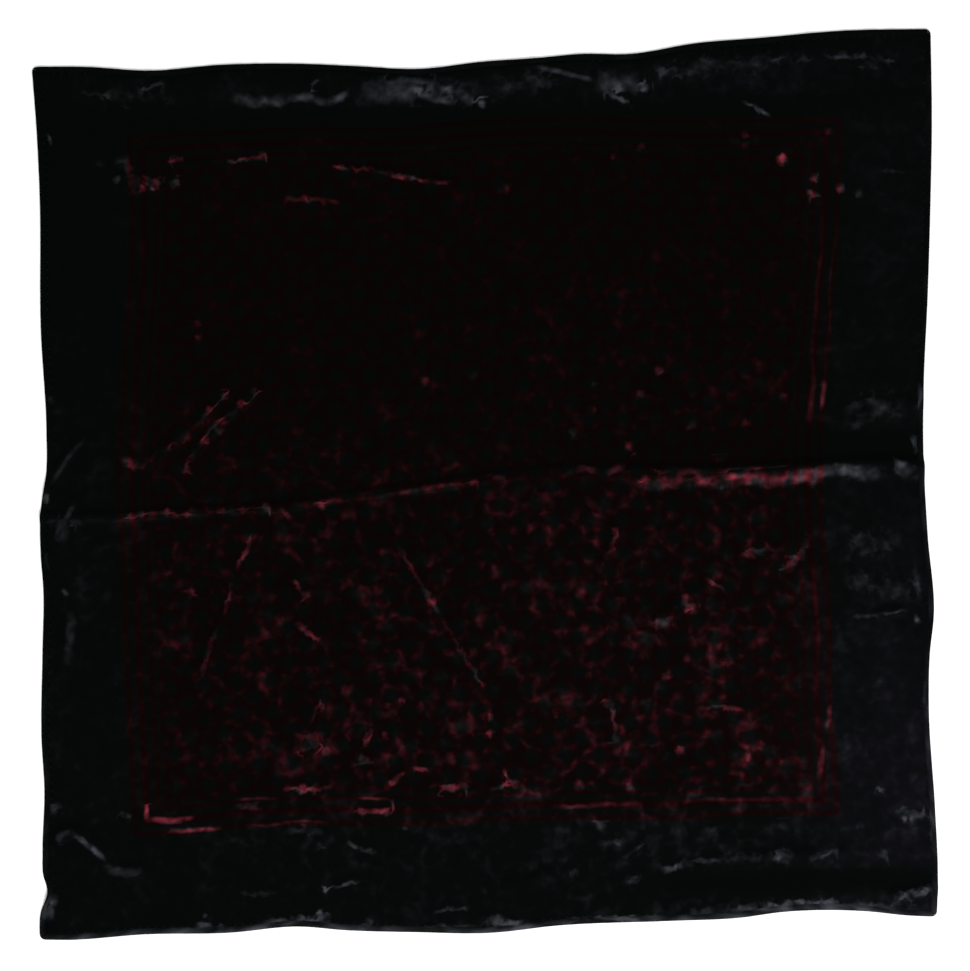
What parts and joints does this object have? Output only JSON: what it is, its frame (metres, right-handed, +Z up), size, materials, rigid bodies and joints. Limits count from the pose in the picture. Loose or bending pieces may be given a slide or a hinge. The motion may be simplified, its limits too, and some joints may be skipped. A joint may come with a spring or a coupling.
{
  "type": "foulard scarf",
  "caption": "Square velvet foulard laid out flat, with a dark plain border, a printed red frame and lattice, rolled hems and a standing mid crease.",
  "frame": {"origin": "on the ground under the middle of the laid-out scarf's bounding box", "axes": "+Z up out of the printed face, +Y towards the edge at the picture's top, +X to the picture's right"},
  "size_m": [0.9105, 0.9157, 0.0083],
  "materials": {
    "printed_velvet": "matte cut-pile velvet, near-black with a dark red print",
    "hem_velvet": "matte cut-pile velvet, near-black, rolled and slip-stitched"
  },
  "bodies": {
    "root": {"velvet_panel": "printed_velvet", "hem_bottom": "hem_velvet", "hem_right": "hem_velvet", "hem_top": "hem_velvet", "hem_left": "hem_velvet"}
  },
  "joints": []
}
